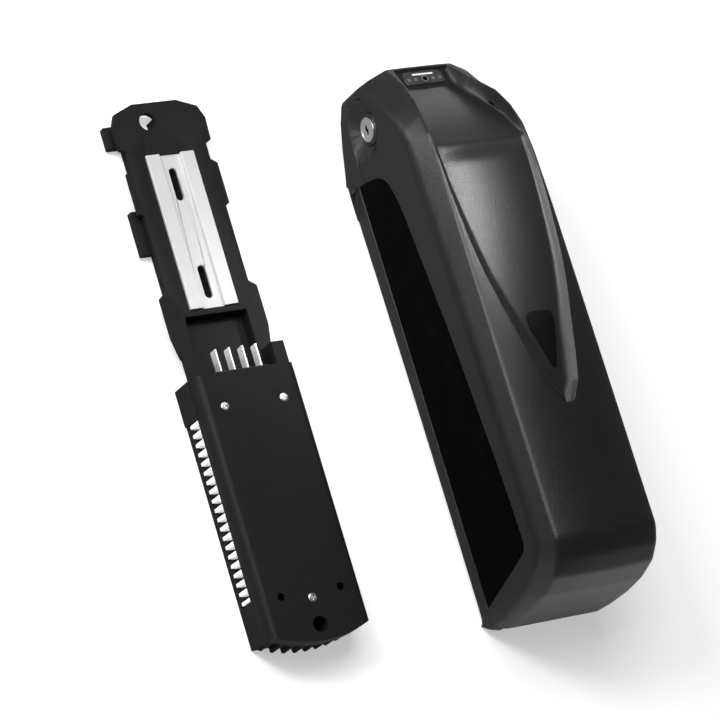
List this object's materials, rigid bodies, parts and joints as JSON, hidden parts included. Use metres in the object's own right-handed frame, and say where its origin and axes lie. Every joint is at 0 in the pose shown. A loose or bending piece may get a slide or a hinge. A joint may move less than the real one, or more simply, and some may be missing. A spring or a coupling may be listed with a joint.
{
  "type": "e-bike downtube battery",
  "caption": "Downtube battery of an electric bicycle with key lock, power button and charging port, lying beside the dock with controller that it slides onto.",
  "frame": {"origin": "centre of the box of both assemblies, on the surface they lie on", "axes": "+Y from the toe towards the lock end of the battery, +Z out of the front faces, +X from the dock to the battery"},
  "size_m": [0.2566, 0.3838, 0.108],
  "materials": {
    "dock_plastic": "fine texture",
    "rail_metal": "satin",
    "sink_metal": "milled",
    "soft_black": "matte",
    "screw_steel": "zinc",
    "pad": "soft",
    "board": "solder mask",
    "chips": "moulded",
    "capacitor_can": "sleeved",
    "terminal_plastic": "moulded",
    "blade_metal": "tinned",
    "lead_red": "satin",
    "rear_plastic": "satin",
    "front_plastic": "satin paint",
    "gloss_black": "gloss",
    "holder_plastic": "moulded",
    "cell_can": "sleeved",
    "nickel": "satin",
    "foam": "foam",
    "fuse_plastic": "gloss",
    "contact_metal": "plated",
    "led": "frosted",
    "button_metal": "satin",
    "bezel_plastic": "satin",
    "lock_metal": "satin chrome",
    "lock_steel": "zinc"
  },
  "bodies": {
    "dock": {"dock_base": "dock_plastic", "mounting_rail": "rail_metal", "controller_cover": "dock_plastic", "cover_gasket": "soft_black", "cover_screws": "screw_steel", "heat_sink": "sink_metal", "thermal_pad": "pad", "controller_board": "board", "power_transistors": "chips", "capacitors": "capacitor_can", "terminal_block": "terminal_plastic", "blade_terminals": "blade_metal", "terminal_leads": "lead_red", "cable_grommet": "soft_black"},
    "battery": {"shell_screws": "screw_steel", "bms_board": "board", "indicator_board": "board", "bms_transistors": "chips", "power_switch": "chips", "discharge_socket": "terminal_plastic", "fuse_holder": "terminal_plastic", "charge_socket": "terminal_plastic", "charge_leads": "lead_red", "rear_shell": "rear_plastic", "front_shell": "front_plastic", "left_side_panel": "gloss_black", "right_side_panel": "gloss_black", "badge_plate": "gloss_black", "indicator_lens": "gloss_black", "cell_holder_left": "holder_plastic", "cell_holder_right": "holder_plastic", "cells": "cell_can", "nickel_strips_left": "nickel", "nickel_strips_right": "nickel", "foam_pads": "foam", "fuse": "fuse_plastic", "discharge_contacts": "contact_metal", "discharge_strips": "contact_metal", "indicator_leds": "led", "lock_bezel": "bezel_plastic", "lock_body": "bezel_plastic"},
    "lock_turn": {"lock_cylinder": "lock_metal", "lock_cam": "lock_steel"},
    "bolt": {"lock_bolt": "lock_steel"},
    "button": {"power_button": "button_metal"},
    "cap": {"port_cap": "soft_black"}
  },
  "joints": [
    {"name": "battery_slide", "type": "slide", "parent": "dock", "child": "battery", "axis": [0, 1, 0], "range_m": [0, 0.025]},
    {"name": "lock_turn", "type": "hinge", "parent": "battery", "child": "lock_turn", "pos_m": [0.0533, 0.1461, 0.041], "axis": [1, 0, 0], "range_deg": [0, 90]},
    {"name": "bolt_slide", "type": "slide", "parent": "battery", "child": "bolt", "axis": [0, 0, 1], "range_m": [0, 0.007]},
    {"name": "button_press", "type": "slide", "parent": "battery", "child": "button", "axis": [0, -0.2419, -0.9703], "range_m": [0, 0.0008], "stiffness_N_per_m": 900, "springref_m": -0.0005},
    {"name": "cap_swing", "type": "hinge", "parent": "battery", "child": "cap", "pos_m": [0.038, 0.09772, 0.00705], "axis": [0, 0, 1], "range_deg": [0, 110]}
  ],
  "couplings": [
    {"joint": "lock_turn", "follows": "bolt_slide", "rad_per_m": 224.39}
  ]
}
